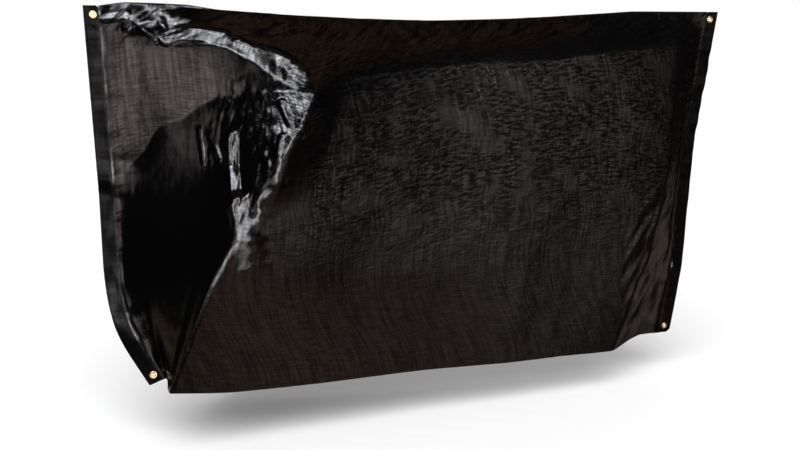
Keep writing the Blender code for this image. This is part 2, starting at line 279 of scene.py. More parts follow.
# %% The grid of both sides
STATION_SPACING = 0.0045     # between columns at the front; twice as far behind CLOSE_UNTIL
CLOSE_UNTIL = -0.40
FOLD_FACETS = 6
first, last = (seam.place(FOLD_RADIUS, STRIP_WIDTH - LAP)[0] for seam in (front_seam, rear_seam))
stations = np.concatenate([
    np.linspace(first, CLOSE_UNTIL, round((CLOSE_UNTIL - first) / STATION_SPACING), endpoint=False),
    np.linspace(CLOSE_UNTIL, last, round((last - CLOSE_UNTIL) / STATION_SPACING / 2) + 1),
])
near = side_grid(NEAR_SIDE, -1, stations)
far = side_grid(FAR_SIDE, 1, stations)
print("columns", len(stations), "rows a side", near.shape[1])

# %% [markdown]
# ## Folds
#
# The sections give the large shape. On the real cover smaller folds run over it: the ridge over the grip
# and down behind it, the edge of the front panel, the pinched corner. Each is placed as a soft ridge or
# trough along a line of x and z: how high, how wide, how rounded its crest is, and over what length it
# fades at its ends. A simulation would wrinkle the sheet too, but not where the real one is wrinkled,
# because the bicycle that makes the folds isn't here.

# %% Ridges and troughs of the near side
FOLD_COLUMNS = ("height", "reach", "rounding", "fade", "line")
NEAR_FOLDS = {
    "bar top, grip": (0.010, 0.035, 0.003, 0.05, (
        (-0.620, -0.075), (-0.587, -0.087), (-0.520, -0.099), (-0.485, -0.119), (-0.442, -0.153),
        (-0.424, -0.190))),
    "under the grip": (0.012, 0.035, 0.008, 0.08, (
        (-0.442, -0.153), (-0.424, -0.190), (-0.421, -0.213), (-0.455, -0.284), (-0.497, -0.342),
        (-0.527, -0.427), (-0.556, -0.520))),
    "panel edge": (-0.006, 0.050, 0.003, 0.06, (
        (-0.568, -0.198), (-0.634, -0.221), (-0.689, -0.222), (-0.734, -0.242), (-0.793, -0.286),
        (-0.852, -0.302), (-0.876, -0.337), (-0.898, -0.378), (-0.939, -0.420), (-0.966, -0.462))),
    "corner crest": (0.007, 0.015, 0.0015, 0.02, ((-0.950, -0.032), (-0.913, -0.004), (-0.843, -0.067))),
    "corner wedge": (-0.006, 0.012, 0.003, 0.03, ((-0.843, 0.016), (-0.809, -0.061))),
}


def along_line(x, z, line):
    """Distance from each point to a line of corners, and how far along it the nearest place is."""
    nearest, place, walked = np.full(x.shape, np.inf), np.zeros(x.shape), 0.0
    for (x0, z0), (x1, z1) in zip(line, line[1:]):
        length = math.hypot(x1 - x0, z1 - z0)
        ux, uz = (x1 - x0) / length, (z1 - z0) / length
        t = np.clip((x - x0) * ux + (z - z0) * uz, 0, length)
        away = np.hypot(x - x0 - t * ux, z - z0 - t * uz)
        place = np.where(away < nearest, walked + t, place)
        nearest = np.minimum(nearest, away)
        walked += length
    return nearest, place, walked


def smooth_step(share):
    return share * share * (3 - 2 * share)


def fold_lift(points, table):
    """How far the listed folds move each point of a side outwards."""
    x, z = points[..., 0], points[..., 2]
    lift = np.zeros(x.shape)
    for row in table.values():
        fold = dict(zip(FOLD_COLUMNS, row))
        away, place, length = along_line(x, z, fold["line"])
        crest = np.exp(-(np.sqrt(away**2 + fold["rounding"] ** 2) - fold["rounding"]) / fold["reach"])
        ends = np.clip(np.minimum(place, length - place) / fold["fade"], 0, 1)
        lift += fold["height"] * crest * smooth_step(ends)
    return lift


def side_normals(points):
    across = np.gradient(points, axis=0)
    down = np.gradient(points, axis=1)
    normals = np.cross(across, down)
    normals /= np.linalg.norm(normals, axis=-1, keepdims=True)
    return normals


def outwards(points, side):
    normals = side_normals(points)
    return normals * np.sign(normals[..., 1:2]) * side


near = near + outwards(near, -1) * fold_lift(near, NEAR_FOLDS)[..., None]
print(len(NEAR_FOLDS), "folds")

# %% [markdown]
# ## Facets
#
# Stiff coated cloth breaks into flat facets, and on a glossy one each facet mirrors a single thing, so
# it is bright or dark as a whole. Here the cloth is pulled flat along a line, at a given tilt: the band
# over the bar looks up, and the hanging facets beside the wheel look to the front.

# %% Strips of the near side pulled flat
FLAT_COLUMNS = ("runs", "half", "soft", "tilt", "lift", "line")
NEAR_FLATS = {
    "corner": ("along", 0.010, 0.008, 23.0, 0.002, ((-0.995, 0.008), (-0.935, 0.014))),
    "bar top": ("along", 0.017, 0.010, 26.0, 0.003, (
        (-0.822, -0.052), (-0.784, -0.040), (-0.719, -0.041), (-0.655, -0.053))),
    "bar top, grip": ("along", 0.011, 0.010, 25.0, 0.003, (
        (-0.622, -0.065), (-0.587, -0.085), (-0.520, -0.101), (-0.480, -0.121), (-0.445, -0.150))),
    "hanging facet": ("down", 0.015, 0.010, 1.0, 0.005, (
        (-0.650, -0.340), (-0.653, -0.413), (-0.652, -0.486), (-0.642, -0.560))),
    "hanging facet, foot": ("down", 0.028, 0.014, 1.5, 0.005, (
        (-0.646, -0.530), (-0.636, -0.615), (-0.630, -0.690))),
    "beside the grip": ("down", 0.008, 0.010, 0.0, 0.003, (
        (-0.510, -0.240), (-0.494, -0.280), (-0.474, -0.332))),
    "below the grip": ("down", 0.007, 0.010, 0.0, 0.002, (
        (-0.516, -0.337), (-0.529, -0.385), (-0.536, -0.458), (-0.563, -0.520))),
    "black edge, upper": ("down", 0.004, 0.008, 2.0, 0.002, (
        (-0.737, -0.316), (-0.733, -0.359), (-0.729, -0.408))),
    "black edge, lower": ("down", 0.004, 0.008, 2.0, 0.002, (
        (-0.708, -0.333), (-0.695, -0.370), (-0.687, -0.394))),
}


def flattened(points, table):
    """The cloth pulled flat along a line. Tilt, in degrees, is to the rear for a line that runs down
    the side and upwards for a line that runs along it."""
    points = points.copy()
    x, y, z = (points[..., i] for i in range(3))
    for row in table.values():
        facet = dict(zip(FLAT_COLUMNS, row))
        corners = np.array(facet["line"])
        depths = [y.flat[np.argmin((x - x0) ** 2 + (z - z0) ** 2)] for x0, z0 in corners]
        walk, side = (z, 0) if facet["runs"] == "down" else (x, 1)
        order = np.argsort(corners[:, 1 - side])
        line_y = np.interp(walk, corners[order, 1 - side], np.take(depths, order))
        middle = np.interp(walk, corners[order, 1 - side], corners[order, side])
        flat = line_y - facet["lift"] + math.tan(math.radians(facet["tilt"])) * ((x, z)[side] - middle)
        away = along_line(x, z, facet["line"])[0]
        inside = np.clip((facet["half"] + facet["soft"] - away) / facet["soft"], 0, 1)
        y += (flat - y) * smooth_step(inside)
    return points


near = flattened(near, NEAR_FLATS)
print(len(NEAR_FLATS), "facets")

# %% [markdown]
# ## Crumples
#
# Between the folds the cloth is crumpled, because it was packed small before. The crumples are noise,
# stretched along the direction in which the cloth is pulled, and each area of them fades at its edge.

# %% Crumpled areas
CRUMPLE_COLUMNS = ("x", "z", "reach_x", "reach_z", "height", "long", "short", "lean")
NEAR_CRUMPLES = {
    "front corner": (-0.885, 0.008, 0.150, 0.058, 0.0070, 0.095, 0.050, 40),
    "below the grip": (-0.610, -0.400, 0.120, 0.250, 0.0030, 0.040, 0.016, 80),
    "black edge": (-0.930, -0.620, 0.120, 0.220, 0.0012, 0.050, 0.010, 6),
    "grip": (-0.490, -0.200, 0.090, 0.110, 0.0022, 0.040, 0.018, 75),
    "top fold": (0.150, -0.010, 0.950, 0.085, 0.0016, 0.075, 0.026, -50),
    "middle": (0.100, -0.420, 0.800, 0.330, 0.0016, 0.120, 0.050, 12),
    "above the hem": (0.000, -0.900, 0.900, 0.250, 0.0010, 0.250, 0.080, 80),
    "rear fold": (0.840, -0.870, 0.150, 0.330, 0.0070, 0.120, 0.026, 60),
    "front foot": (-0.900, -0.920, 0.100, 0.110, 0.0020, 0.080, 0.035, 40),
}
FAR_CRUMPLES = {
    "top fold": (0.000, -0.010, 1.050, 0.100, 0.0016, 0.075, 0.026, 50),
    "front": (-0.650, -0.450, 0.350, 0.450, 0.0025, 0.160, 0.050, 75),
    "middle": (0.150, -0.450, 0.800, 0.400, 0.0018, 0.140, 0.055, -10),
    "rear": (0.850, -0.700, 0.180, 0.500, 0.0025, 0.180, 0.045, 75),
}
OVERTONE = 0.4               # share of the second, finer noise, at OVERTONE_RATE waves to one
OVERTONE_RATE = 2.1
SEED_STEP = 7.3              # apart enough for each area to have its own noise


def crumple_lift(points, table):
    """Small random folds: lean is the angle of their long direction above the level, in degrees."""
    lift = np.zeros(points.shape[:2])
    for seed, row in enumerate(table.values()):
        area = dict(zip(CRUMPLE_COLUMNS, row))
        dx, dz = points[..., 0] - area["x"], points[..., 2] - area["z"]
        near_by = np.clip(1 - (dx / area["reach_x"]) ** 2 - (dz / area["reach_z"]) ** 2, 0, 1)
        turn = math.radians(area["lean"])
        along = (dx * math.cos(turn) + dz * math.sin(turn)) / area["long"]
        across = (dz * math.cos(turn) - dx * math.sin(turn)) / area["short"]
        for i, j in zip(*np.nonzero(near_by)):
            at = Vector((along[i, j], across[i, j], seed * SEED_STEP))
            crumple = noise.noise(at) + OVERTONE * noise.noise(at * OVERTONE_RATE)
            lift[i, j] += area["height"] * near_by[i, j] ** 0.5 * crumple
    return lift


near = near + outwards(near, -1) * crumple_lift(near, NEAR_CRUMPLES)[..., None]
far = far + outwards(far, 1) * crumple_lift(far, FAR_CRUMPLES)[..., None]
print(len(NEAR_CRUMPLES), "near and", len(FAR_CRUMPLES), "far areas")

# %% [markdown]
# ## Puckers
#
# A seam through stiff cloth draws it in a little, so the ends wave in and out. The sheet and the strip
# have to wave together, so both go through the same function.

# %% Puckers along the end seams
PUCKER_COLUMNS = ("x", "reach", "wave", "height", "from_z", "to_z")
PUCKERS = {
    "front seam": (-1.00, 0.075, 0.055, 0.0030, -0.02, -0.98),
    "rear seam top": (1.02, 0.070, 0.045, 0.0040, -0.04, -0.42),
    "rear seam foot": (1.00, 0.060, 0.080, 0.0020, -0.42, -1.02),
}
PUCKER_FADE = 0.05           # over this length a stretch of puckers comes and goes
PUCKER_LEAN = 6              # waves to the metre across the seam, so that a pucker isn't quite level
NOISE_PEAK = 1.6             # brings the noise's usual peaks to about one


def pucker(grid):
    """The cloth and the strips drawn in and out together along the end seams."""
    lifted = grid.copy()
    for row in PUCKERS.values():
        stretch = dict(zip(PUCKER_COLUMNS, row))
        x, z = grid[..., 0], grid[..., 2]
        near_end = np.clip(1 - np.abs(x - stretch["x"]) / stretch["reach"], 0, 1)
        along = np.clip(np.minimum(stretch["from_z"] - z, z - stretch["to_z"]) / PUCKER_FADE, 0, 1)
        strength = stretch["height"] * near_end * smooth_step(along)
        for index in zip(*np.nonzero(strength)):
            at = Vector((x[index] * PUCKER_LEAN, 0.0, z[index] / stretch["wave"]))
            lifted[index][1] -= strength[index] * noise.noise(at) * NOISE_PEAK
    return lifted


print(len(PUCKERS), "puckered stretches")

# %% [markdown]
# ## Nodes and colours
#
# Every material and the studio are node trees. One small function adds a node, so that a tree reads as
# a list of nodes, each with its settings and what goes into it.

# %% Add a node
def linear(hex_colour):
    """An sRGB hex colour as the linear values that a shader takes."""
    parts = [int(hex_colour[i:i + 2], 16) / 255 for i in (1, 3, 5)]
    return [*[p / 12.92 if p <= 0.04045 else ((p + 0.055) / 1.055) ** 2.4 for p in parts], 1.0]


def add_node(tree, kind, settings=None, inputs=None):
    """One node with its settings. An input, by name or number, is a value, a socket, or a node whose
    first output is meant."""
    node = tree.nodes.new("ShaderNode" + kind)
    for name, value in (settings or {}).items():
        setattr(node, name, value)
    for key, value in (inputs or {}).items():
        if isinstance(value, bpy.types.Node):
            value = value.outputs[0]
        if isinstance(value, bpy.types.NodeSocket):
            tree.links.new(value, node.inputs[key])
        else:
            node.inputs[key].default_value = value
    return node


print("near black is", [round(c, 5) for c in linear("#030303")[:3]], "in linear light")

# %% [markdown]
# ## Coated woven polyethylene
#
# The common name is PE tarpaulin. Flat tapes of black polyethylene, about 2.5 mm wide, are woven and
# then coated on both sides with a thin smooth film of the same plastic. The eye gets nearly all of it
# from the film's gloss: the plastic itself is almost black, and the film mirrors the room at about 4%.
# So the base colour is near black, the IOR is polyethylene's 1.5, and the roughness is low.
#
# Where the cloth was folded small, it is crinkled into short dashes that run level, mostly behind the grip,
# and into slanting creases near the top fold. The specular level is lowered on them, which is painted
# shade: it darkens them as their own shade would. Thin lines follow the tapes both ways. These are drawn in
# the specular level, and the larger ones in the bump as well.
#
# The weave would be too fine to show from three metres away, so it is drawn twice as coarse as it is.

# %% Marks on the cloth
TAPE_WEAVE = 0.005           # one drawn wave, as wide as two real tapes
FILM_ROUGHNESS = 0.14        # a smooth coating, a little softer than a polished one
FILM_IOR = 1.5
MARKS = {  # noise: waves to the metre across and down the cloth, turn in degrees, detail
    # dashes: crinkles, whose dark look is painted shade in the specular level, while their small height
    # goes into the bump
    "crinkles with painted shade": ((34, 120), -7, 2.0),
    "dash patches": ((7, 9), 30, 1.0),
    "upright lines": ((110, 7), 0, 2.0),
    "level lines": ((14, 260), 0, 2.0),
    "blotches": ((18, 14), 20, 3.0),
    "painted shade of slanting creases": ((50, 12), 48, 2.0),
}
print(len(MARKS), "marks, the finest of", 1000 // max(max(waves) for waves, _, _ in MARKS.values()), "mm")

# %% [markdown]
# A mark is plain noise until it is cut off softly, which says how much of it there is. A place on the
# bag is cut off in the same way, so that a mark shows there and not elsewhere.

# %% Where the marks show
SHARES = {  # a smooth step of a mark or a place: what it reads, from, to, lowest, highest
    "crinkles with painted shade": ("crinkles with painted shade", 0.42, 0.60, 0.0, 1.0),
    "dash patches": ("dash patches", 0.30, 0.50, 0.0, 1.0),
    "above the plain part": ("Z", -0.85, -0.45, 0.0, 1.0),
    "below the top fold": ("Z", 0.00, -0.12, 0.0, 1.0),
    "near the top fold": ("Z", -0.10, -0.04, 0.0, 1.0),
    "behind the grip": ("X", -0.55, -0.40, 0.0, 1.0),
    "off the front panel": ("X", -0.60, -0.50, 0.08, 1.0),
    # slanting creases: painted shade of the wrinkles near the top fold, drawn only in the specular level
    "painted shade of slanting creases": ("painted shade of slanting creases", 0.50, 0.60, 0.0, 1.0),
    "level shine": ("level lines", 0.35, 0.65, 0.70, 1.2),
    "upright shine": ("upright lines", 0.35, 0.65, 0.66, 1.25),
}
print(len(SHARES), "shares")

# %% [markdown]
# Then the shares are multiplied and added, from the top down. The first rows take painted shade out of the
# gloss at the crinkles and creases, and the last ones add up the height that the bump reads.

# %% Gloss and height
ARITHMETIC = (  # result, operation, and two names or numbers; heights are in metres
    ("folded", "MULTIPLY", "above the plain part", "below the top fold"),
    ("folded", "MULTIPLY", "folded", "behind the grip"),
    ("folded", "MULTIPLY", "folded", 0.75),
    ("folded", "ADD", "folded", 0.25),
    ("crinkles with painted shade", "MULTIPLY", "crinkles with painted shade", "dash patches"),
    ("crinkles with painted shade", "MULTIPLY", "crinkles with painted shade", "folded"),
    ("painted shade of slanting creases", "MULTIPLY", "painted shade of slanting creases", "near the top fold"),
    # painted shade: where the crinkles and slanting creases lie, the gloss is lowered, so that they look
    # dark
    ("painted shade", "MAXIMUM", "crinkles with painted shade", "painted shade of slanting creases"),
    ("painted shade", "MULTIPLY", "painted shade", "creased"),
    ("painted shade", "MULTIPLY", "painted shade", 0.56),
    ("gloss", "SUBTRACT", "shine", "painted shade"),
    ("gloss", "MULTIPLY", "gloss", "level shine"),
    ("gloss", "MULTIPLY", "gloss", "upright shine"),
    ("standing", "MULTIPLY", "upright lines", "off the front panel"),
    ("standing", "MULTIPLY", "standing", 0.0006),
    ("dash height", "MULTIPLY", "crinkles with painted shade", 0.0002),
    ("line height", "MULTIPLY", "level lines", 0.0003),
    ("blotch height", "MULTIPLY", "blotches", 0.0012),
    ("height", "ADD", "dash height", "standing"),
    ("height", "ADD", "height", "line height"),
    ("height", "ADD", "height", "blotch height"),
    ("height", "MULTIPLY", "height", "creased"),
    ("weave", "MULTIPLY", "tapes across", "tapes down"),
    ("weave", "MULTIPLY", "weave", 0.00005),
    ("height", "ADD", "height", "weave"),
)
print(len(ARITHMETIC), "steps of arithmetic")


# %% [markdown]
# The three tables become one material. The sheet and the strips are the same plastic with another surface,
# so the amount of crinkling, with its painted shade, and the shine are left open.

# %% The sheet's finish
def woven_polyethylene(name, creased, shine):
    """creased, 0 to 1, is how much crinkling there is, with its painted shade, and shine the specular level
    without any.
    """
    material = bpy.data.materials.new(name)
    material.use_nodes = True
    tree = material.node_tree
    shader = tree.nodes["Principled BSDF"]
    shader.inputs["Base Color"].default_value = linear("#030303")
    shader.inputs["Roughness"].default_value = FILM_ROUGHNESS
    shader.inputs["IOR"].default_value = FILM_IOR
    cloth = add_node(tree, "UVMap", {"uv_map": "cloth"})
    place = add_node(tree, "SeparateXYZ", {}, {0: add_node(tree, "TexCoord").outputs["Object"]})
    made = {"creased": creased, "shine": shine, "X": place.outputs["X"], "Z": place.outputs["Z"]}
    lengths = add_node(tree, "SeparateXYZ", {}, {0: cloth})
    for tapes, axis in (("tapes across", "X"), ("tapes down", "Y")):
        phase = add_node(tree, "Math", {"operation": "MULTIPLY"},
                         {0: lengths.outputs[axis], 1: 2 * math.pi / TAPE_WEAVE})
        made[tapes] = add_node(tree, "Math", {"operation": "SINE"}, {0: phase})
    for mark, (waves, turn, detail) in MARKS.items():
        turned = add_node(tree, "Mapping", {}, {"Vector": cloth, "Rotation": (0, 0, math.radians(turn))})
        spread = add_node(tree, "Mapping", {}, {"Vector": turned, "Scale": (*waves, 1.0)})
        made[mark] = add_node(tree, "TexNoise", {}, {
            "Vector": spread, "Scale": 1.0, "Detail": detail, "Roughness": 0.55})
    shares = {
        share: add_node(tree, "MapRange", {"interpolation_type": "SMOOTHSTEP"}, {
            "Value": made[source], "From Min": start, "From Max": end, "To Min": low, "To Max": high})
        for share, (source, start, end, low, high) in SHARES.items()
    }
    made.update(shares)
    for result, operation, *names in ARITHMETIC:
        made[result] = add_node(tree, "Math", {"operation": operation},
                                {i: made.get(key, key) for i, key in enumerate(names)})
    tree.links.new(made["gloss"].outputs[0], shader.inputs["Specular IOR Level"])
    bump = add_node(tree, "Bump", {}, {"Distance": 1.0, "Strength": 1.0, "Height": made["height"]})
    tree.links.new(bump.outputs["Normal"], shader.inputs["Normal"])
    print(name, "has", len(tree.nodes), "nodes")
    return material


sheet_finish = woven_polyethylene("woven_polyethylene", creased=1.0, shine=0.66)

# %% [markdown]
# Welding presses the film flat and takes its gloss off: the strips have few creases and shine less.

# %% Finish of the strips
welded_finish = woven_polyethylene("welded_polyethylene", creased=0.15, shine=0.13)

# %% [markdown]
# ## Stamped brass
#
# The eyelets are stamped from thin brass sheet and rolled over the cloth. Brass is a metal, so it takes
# its colour from the mirror itself, and it keeps the default IOR. Handling leaves it unevenly dull, as
# darker and rougher spots a few millimetres wide.

# %% Finish of the eyelets
def stamped_brass(name):
    material = bpy.data.materials.new(name)
    material.use_nodes = True
    tree = material.node_tree
    shader = tree.nodes["Principled BSDF"]
    shader.inputs["Metallic"].default_value = 1.0
    place = add_node(tree, "TexCoord").outputs["Object"]
    tarnish = add_node(tree, "TexNoise", {}, {"Vector": place, "Scale": 300.0, "Detail": 3.0})
    colour = add_node(tree, "ValToRGB", {}, {"Fac": tarnish})
    colour.color_ramp.elements[0].color = linear("#c9a45c")
    colour.color_ramp.elements[1].color = linear("#efdcae")
    dullness = add_node(tree, "MapRange", {}, {
        "Value": tarnish, "From Min": 0.3, "From Max": 0.7, "To Min": 0.18, "To Max": 0.34})
    tree.links.new(colour.outputs["Color"], shader.inputs["Base Color"])
    tree.links.new(dullness.outputs["Result"], shader.inputs["Roughness"])
    print(name, "has", len(tree.nodes), "nodes")
    return material


brass_finish = stamped_brass("stamped_brass")

# %% [markdown]
# ## The sheet
#
# The real cloth is about 0.15 mm thick, far too thin to show, so it is one layer of quads: up the near
# side, over the fold and down the far side. A second layer would double the mesh and add nothing. Its
# UV map holds lengths along the cloth in metres, so the weave and the marks keep their real size.

# %% Make a mesh from a grid of points
def grid_mesh(name, grid):
    """A smooth mesh of quads through a grid of points, with the lengths along the cloth as its UV map."""
    rows, columns = grid.shape[:2]
    mesh = bpy.data.meshes.new(name)
    faces = [
        (i * columns + j, (i + 1) * columns + j, (i + 1) * columns + j + 1, i * columns + j + 1)
        for i in range(rows - 1)
        for j in range(columns - 1)
    ]
    mesh.from_pydata(grid.reshape(-1, 3).tolist(), [], faces)
    across = np.linalg.norm(np.diff(grid, axis=0, prepend=grid[:1]), axis=2).cumsum(axis=0)
    down = np.linalg.norm(np.diff(grid, axis=1, prepend=grid[:, :1]), axis=2).cumsum(axis=1)
    lengths = np.stack([across, down], axis=2).reshape(-1, 2)
    corners = np.empty(len(mesh.loops), dtype=np.int32)
    mesh.loops.foreach_get("vertex_index", corners)
    mesh.uv_layers.new(name="cloth").data.foreach_set("uv", lengths[corners].ravel())
    mesh.update()
    mesh.shade_smooth()
    return mesh


def add_piece(name, mesh, material):
    piece = bpy.data.objects.new(name, mesh)
    bpy.context.scene.collection.objects.link(piece)
    mesh.materials.append(material)
    return piece


# %% [markdown]
# The columns run from the near hem over the top fold to the far hem. The two sides were shaped on their
# own, so the few points that go round the fold are put in between them here.

# %% Build the sheet
columns = [
    np.vstack([near[i][::-1], round_the_fold(near[i][0], far[i][0], FOLD_FACETS), far[i]])
    for i in range(len(stations))
]
cover = add_piece("cover_sheet", grid_mesh("cover_sheet", pucker(np.array(columns))), sheet_finish)
print("cover sheet:", len(cover.data.polygons), "quads")

# %% [markdown]
# ## Seam strips
#
# At each end the two layers are joined flat, with a strip that stiffens the edge and holds the eyelets.
# It is made as a grid along the seam's ribbon, given a thickness, and punched with real round holes. The
# holes are cut with booleans, because a hole drawn by hand in a grid would pull its quads out of shape.

# %% Sizes and points of a strip
STRIP = 0.0016               # thickness
STRIP_NOTCH = 0.0065         # the inner top corner stands back for the sheet's fold
NOTCH_SLOPE = 0.004
CORNER_CUT = 0.012           # the rear strip's outer foot corner is cut off
EYELET_INSET = 0.026
PUNCH_RADIUS, PUNCH_LENGTH = 0.007, 0.02
ROUND_FACETS = 48            # sides of a punched hole
STRIP_COLUMNS, STRIP_ROWS = 13, 280


def strip_grid(seam, cut):
    """Points of a strip, drawn in at its top inner corner for the fold, and at its foot where it's cut."""
    across = np.linspace(0, STRIP_WIDTH, STRIP_COLUMNS)
    top = STRIP_NOTCH * np.clip((across - (STRIP_WIDTH - LAP)) / NOTCH_SLOPE + 1, 0, 1)
    foot = BAG_HEIGHT - (CORNER_CUT * np.clip(1 - across / CORNER_CUT, 0, 1) if cut else 0 * across)
    downs = np.linspace(0, 1, STRIP_ROWS)
    return np.array([[seam.place(t + (f - t) * d, a) for a, t, f in zip(across, top, foot)] for d in downs])


print("a strip has", (STRIP_COLUMNS - 1) * (STRIP_ROWS - 1), "quads before it is given a thickness")


# %% [markdown]
# An eyelet's place is a small frame of its own, with its third axis along the seam's normal. The cutter
# that punches the hole and the eyelet that fills it both stand in it.

# %% Places of the eyelets, and how to punch a hole
def punch(strip, place, name):
    """A round hole through a strip."""
    made = bmesh.new()
    bmesh.ops.create_cone(
        made, cap_ends=True, segments=ROUND_FACETS,
        radius1=PUNCH_RADIUS, radius2=PUNCH_RADIUS, depth=PUNCH_LENGTH,
    )
    mesh = bpy.data.meshes.new(name)
    made.to_mesh(mesh)
    made.free()
    cutter = bpy.data.objects.new(name, mesh)
    bpy.context.scene.collection.objects.link(cutter)
    cutter.matrix_world = place
    cut = strip.modifiers.new(name, "BOOLEAN")
    cut.object = cutter
    return cutter


def eyelet_place(seam, along):
    centre = seam.place(along, EYELET_INSET)
    _, across, normal = seam.frame(along)
    turn = Matrix([across, np.cross(normal, across), normal]).transposed().to_4x4()
    return Matrix.Translation(Vector(centre)) @ turn


def apply_modifiers(piece):
    evaluated = piece.evaluated_get(bpy.context.evaluated_depsgraph_get())
    mesh = bpy.data.meshes.new_from_object(evaluated)
    piece.modifiers.clear()
    piece.data = mesh


EYELETS = {
    "front_top": (front_seam, EYELET_INSET), "front_foot": (front_seam, BAG_HEIGHT - EYELET_INSET),
    "rear_top": (rear_seam, EYELET_INSET), "rear_foot": (rear_seam, BAG_HEIGHT - EYELET_INSET),
}
for corner, where in EYELETS.items():
    print(corner, "is at", [round(c, 3) for c in eyelet_place(*where).translation])

# %% [markdown]
# The modifiers are applied at once and the cutters taken away, so that only the punched strips are left.

# %% Make the strips and punch them
strips = {}
for end, seam, cut in (("front", front_seam, False), ("rear", rear_seam, True)):
    name = "seam_strip_" + end
    strip = add_piece(name, grid_mesh(name, pucker(strip_grid(seam, cut))), welded_finish)
    solid = strip.modifiers.new("thickness", "SOLIDIFY")
    solid.thickness, solid.offset = STRIP, 0.0
    cutters = [
        punch(strip, eyelet_place(*EYELETS[f"{end}_{corner}"]), f"hole_{end}_{corner}")
        for corner in ("top", "foot")
    ]
    apply_modifiers(strip)
    for cutter in cutters:
        bpy.data.objects.remove(cutter)
    strips[end] = strip
    print(name, len(strip.data.polygons), "faces")

# %% [markdown]
# ## Eyelets
#
# A real one is two stamped rings: the barrel of one goes through the cloth and is rolled over the other.
# Seen from either side it is a rounded ring with an open hole, so half of its section is drawn once as
# radius and height, mirrored for the other side, and turned about the hole.

# %% Section of an eyelet
RING = 0.0115                # outer radius
HOLE = 0.0055                # radius of the open hole
BARREL = 0.0062              # outer radius of the barrel
CLEAR = 0.0001               # between the ring and the strip
ROLL = 0.0016                # height of the rolled ring
INNER_ROUND, OUTER_ROUND = 0.0013, 0.0022
ROUND_STEPS = 7              # points of a rounded edge


def eyelet_profile():
    """Half of the ring's section as radius and height: the barrel, the outer round and the inner one."""
    under = STRIP / 2 + CLEAR
    turns = np.linspace(math.pi / 2, 0, ROUND_STEPS)
    outer = [(RING - OUTER_ROUND * (1 - math.sin(a)), under + CLEAR + ROLL * math.cos(a)) for a in turns]
    inner = [(HOLE + INNER_ROUND * (1 - math.cos(a)), under + CLEAR + ROLL * math.sin(a)) for a in turns]
    return [(BARREL, under), *outer, *inner]


print("a ring of", 2000 * RING, "mm with a hole of", 2000 * HOLE, "mm")

# %% [markdown]
# The section closes on itself, so a ring of it is a closed loop of points. Copies of the loop stand
# round the hole and each is joined to the next, as a lathe would turn it.

# %% Turn the eyelets
EYELET_FACETS = 64           # sections round the hole


def turned(name, profile, segments):
    made = bmesh.new()
    rings = []
    for k in range(segments):
        angle = 2 * math.pi * k / segments
        rings.append([made.verts.new((r * math.cos(angle), r * math.sin(angle), h)) for r, h in profile])
    for k in range(segments):
        here, following = rings[k], rings[(k + 1) % segments]
        for j in range(len(profile)):
            after = (j + 1) % len(profile)
            made.faces.new((here[j], following[j], following[after], here[after]))
    bmesh.ops.recalc_face_normals(made, faces=made.faces)
    mesh = bpy.data.meshes.new(name)
    made.to_mesh(mesh)
    made.free()
    mesh.shade_smooth()
    return mesh


upper = eyelet_profile()
lower = [(r, -h) for r, h in reversed(upper)]
eyelets = {}
for corner, where in EYELETS.items():
    name = "brass_eyelet_" + corner
    eyelet = add_piece(name, turned(name, upper + lower, EYELET_FACETS), brass_finish)
    eyelet.matrix_world = eyelet_place(*where)
    eyelets[corner] = eyelet
print(len(eyelets), "eyelets")

# %% [markdown]
# ## Floor, camera and light
#
# The bicycle would stand on the floor, so the floor lies as far below the cover as its tyres reach. The
# camera stands to the front of the middle and looks slightly down.

# %% Floor and camera
FLOOR_HEIGHT, FLOOR_SIZE = -1.250, 40
CAMERA_PLACE = (-1.048, -3.126, -0.073)
CAMERA_TURN = (80, 0, -16.9)     # degrees: 10 below the level, and round towards the rear
LENS = 45.9                  # millimetres
bpy.ops.mesh.primitive_plane_add(size=FLOOR_SIZE, location=(0, 0, FLOOR_HEIGHT))
floor = bpy.context.object
floor.name = "floor"
floor.visible_glossy = False
paint = bpy.data.materials.new("studio_floor_paint")
paint.use_nodes = True
paint.node_tree.nodes["Principled BSDF"].inputs["Base Color"].default_value = linear("#fafafa")
paint.node_tree.nodes["Principled BSDF"].inputs["Roughness"].default_value = 0.9
floor.data.materials.append(paint)

camera = bpy.data.objects.new("camera", bpy.data.cameras.new("camera"))
bpy.context.scene.collection.objects.link(camera)
bpy.context.scene.camera = camera
camera.location = CAMERA_PLACE
camera.rotation_euler = [math.radians(a) for a in CAMERA_TURN]
camera.data.lens = LENS
print("the camera is", round(Vector(CAMERA_PLACE).length, 2), "m from the middle of the top fold")

# %% [markdown]
# A black glossy cloth shows little but its surroundings, so those are built as a painter would: soft
# boxes and dim walls, each a window of directions in the world. Azimuth 0 looks from the cover to the
# near side and grows towards the rear, and elevation is above the level, both in degrees. Each edge is a
# smooth step as wide as the row says. Only glossy rays see the windows.

